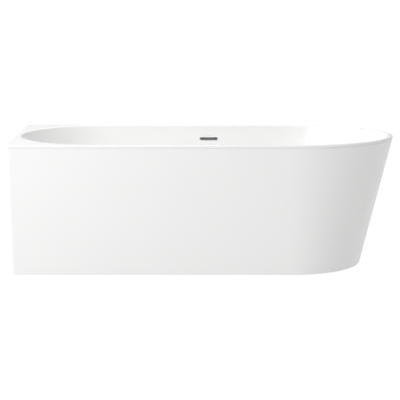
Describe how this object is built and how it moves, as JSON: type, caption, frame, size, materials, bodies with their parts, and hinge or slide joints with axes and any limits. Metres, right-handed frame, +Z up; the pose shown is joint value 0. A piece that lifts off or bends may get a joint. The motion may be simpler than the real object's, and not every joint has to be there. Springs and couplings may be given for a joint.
{
  "type": "corner bathtub",
  "caption": "Acrylic bathtub for a room's corner, with a rounded, outward-flaring end, a one-piece apron, levelling feet, click waste and slot overflow.",
  "frame": {"origin": "on the floor, under the middle of the rim's length and depth", "axes": "+X from the head wall towards the rounded end, +Y from the room towards the long wall, +Z up"},
  "size_m": [1.7, 0.75, 0.58],
  "materials": {
    "white_acrylic": "high gloss",
    "glass_fibre": "rough laminate",
    "white_adhesive": "matte",
    "base_board": "pressed chips, resin coated",
    "timber": "sawn",
    "plywood": "sanded",
    "cradle_steel": "satin powder coat",
    "zinc_sheet": "zinc plated",
    "fastener_steel": "zinc plated",
    "black_plastic": "moulded",
    "chrome": "polished",
    "brass": "machined",
    "black_rubber": "matte",
    "white_plastic": "moulded, satin",
    "grey_hose": "ribbed"
  },
  "bodies": {
    "root": {"apron": "white_acrylic", "apron_bead": "white_adhesive", "apron_brackets": "zinc_sheet", "base_board": "base_board", "bath_shell": "white_acrylic", "board_screws": "fastener_steel", "body_seal": "black_rubber", "bracket_screws": "fastener_steel", "cross_rail_foot": "cradle_steel", "cross_rail_head": "cradle_steel", "fibreglass_backing": "glass_fibre", "flange_seal": "black_rubber", "foot_bridge": "zinc_sheet", "front_batten": "timber", "hose_nut_lower": "black_plastic", "hose_nut_upper": "black_plastic", "nose_rail": "cradle_steel", "nose_rib": "plywood", "nose_rib_screws": "fastener_steel", "overflow_box": "white_plastic", "overflow_hose": "grey_hose", "overflow_seal": "black_rubber", "overflow_trim": "chrome", "plug_guide": "brass", "rail_end_caps": "black_plastic", "trap": "white_plastic", "trap_inlet_nut": "black_plastic", "trap_outlet_nut": "black_plastic", "trap_outlet_seal": "black_rubber", "trap_seal": "black_rubber", "wall_anchor_head_end": "zinc_sheet", "wall_anchor_head_wall": "zinc_sheet", "wall_anchor_middle": "zinc_sheet", "waste_body": "white_plastic", "waste_flange": "chrome"},
    "foot_head_front": {"foot_head_front_rod": "fastener_steel", "foot_head_front_pad": "black_plastic"},
    "foot_head_front_nuts": {"foot_head_front_nuts": "fastener_steel"},
    "foot_head_rear": {"foot_head_rear_rod": "fastener_steel", "foot_head_rear_pad": "black_plastic"},
    "foot_head_rear_nuts": {"foot_head_rear_nuts": "fastener_steel"},
    "foot_nose_front": {"foot_nose_front_rod": "fastener_steel", "foot_nose_front_pad": "black_plastic"},
    "foot_nose_front_nuts": {"foot_nose_front_nuts": "fastener_steel"},
    "foot_nose_rear": {"foot_nose_rear_rod": "fastener_steel", "foot_nose_rear_pad": "black_plastic"},
    "foot_nose_rear_nuts": {"foot_nose_rear_nuts": "fastener_steel"},
    "foot_middle": {"foot_middle_rod": "fastener_steel", "foot_middle_pad": "black_plastic"},
    "foot_middle_nuts": {"foot_middle_nuts": "fastener_steel"},
    "plug": {"waste_plug": "chrome", "plug_seal": "black_rubber"}
  },
  "joints": [
    {"name": "foot_head_front_height", "type": "slide", "parent": "root", "child": "foot_head_front", "axis": [0, 0, 1], "range_m": [-0.025, 0.003]},
    {"name": "foot_head_front_nuts_turn", "type": "hinge", "parent": "root", "child": "foot_head_front_nuts", "pos_m": [-0.43, -0.275, 0.12], "axis": [0, 0, 1], "range_deg": [-618, 5143]},
    {"name": "foot_head_rear_height", "type": "slide", "parent": "root", "child": "foot_head_rear", "axis": [0, 0, 1], "range_m": [-0.025, 0.003]},
    {"name": "foot_head_rear_nuts_turn", "type": "hinge", "parent": "root", "child": "foot_head_rear_nuts", "pos_m": [-0.43, 0.275, 0.12], "axis": [0, 0, 1], "range_deg": [-618, 5143]},
    {"name": "foot_nose_front_height", "type": "slide", "parent": "root", "child": "foot_nose_front", "axis": [0, 0, 1], "range_m": [-0.025, 0.003]},
    {"name": "foot_nose_front_nuts_turn", "type": "hinge", "parent": "root", "child": "foot_nose_front_nuts", "pos_m": [0.4, -0.275, 0.12], "axis": [0, 0, 1], "range_deg": [-618, 5143]},
    {"name": "foot_nose_rear_height", "type": "slide", "parent": "root", "child": "foot_nose_rear", "axis": [0, 0, 1], "range_m": [-0.025, 0.003]},
    {"name": "foot_nose_rear_nuts_turn", "type": "hinge", "parent": "root", "child": "foot_nose_rear_nuts", "pos_m": [0.4, 0.275, 0.12], "axis": [0, 0, 1], "range_deg": [-618, 5143]},
    {"name": "foot_middle_height", "type": "slide", "parent": "root", "child": "foot_middle", "axis": [0, 0, 1], "range_m": [-0.025, 0.003]},
    {"name": "foot_middle_nuts_turn", "type": "hinge", "parent": "root", "child": "foot_middle_nuts", "pos_m": [-0.13, 0, 0.12], "axis": [0, 0, 1], "range_deg": [-618, 5143]},
    {"name": "plug_press", "type": "slide", "parent": "root", "child": "plug", "axis": [0, 0, 1], "range_m": [-0.008, 0], "stiffness_N_per_m": 200, "springref_m": 0.02}
  ],
  "couplings": [
    {"joint": "foot_head_front_nuts_turn", "follows": "foot_head_front_height", "rad_per_m": -3590.4},
    {"joint": "foot_head_rear_nuts_turn", "follows": "foot_head_rear_height", "rad_per_m": -3590.4},
    {"joint": "foot_nose_front_nuts_turn", "follows": "foot_nose_front_height", "rad_per_m": -3590.4},
    {"joint": "foot_nose_rear_nuts_turn", "follows": "foot_nose_rear_height", "rad_per_m": -3590.4},
    {"joint": "foot_middle_nuts_turn", "follows": "foot_middle_height", "rad_per_m": -3590.4}
  ]
}
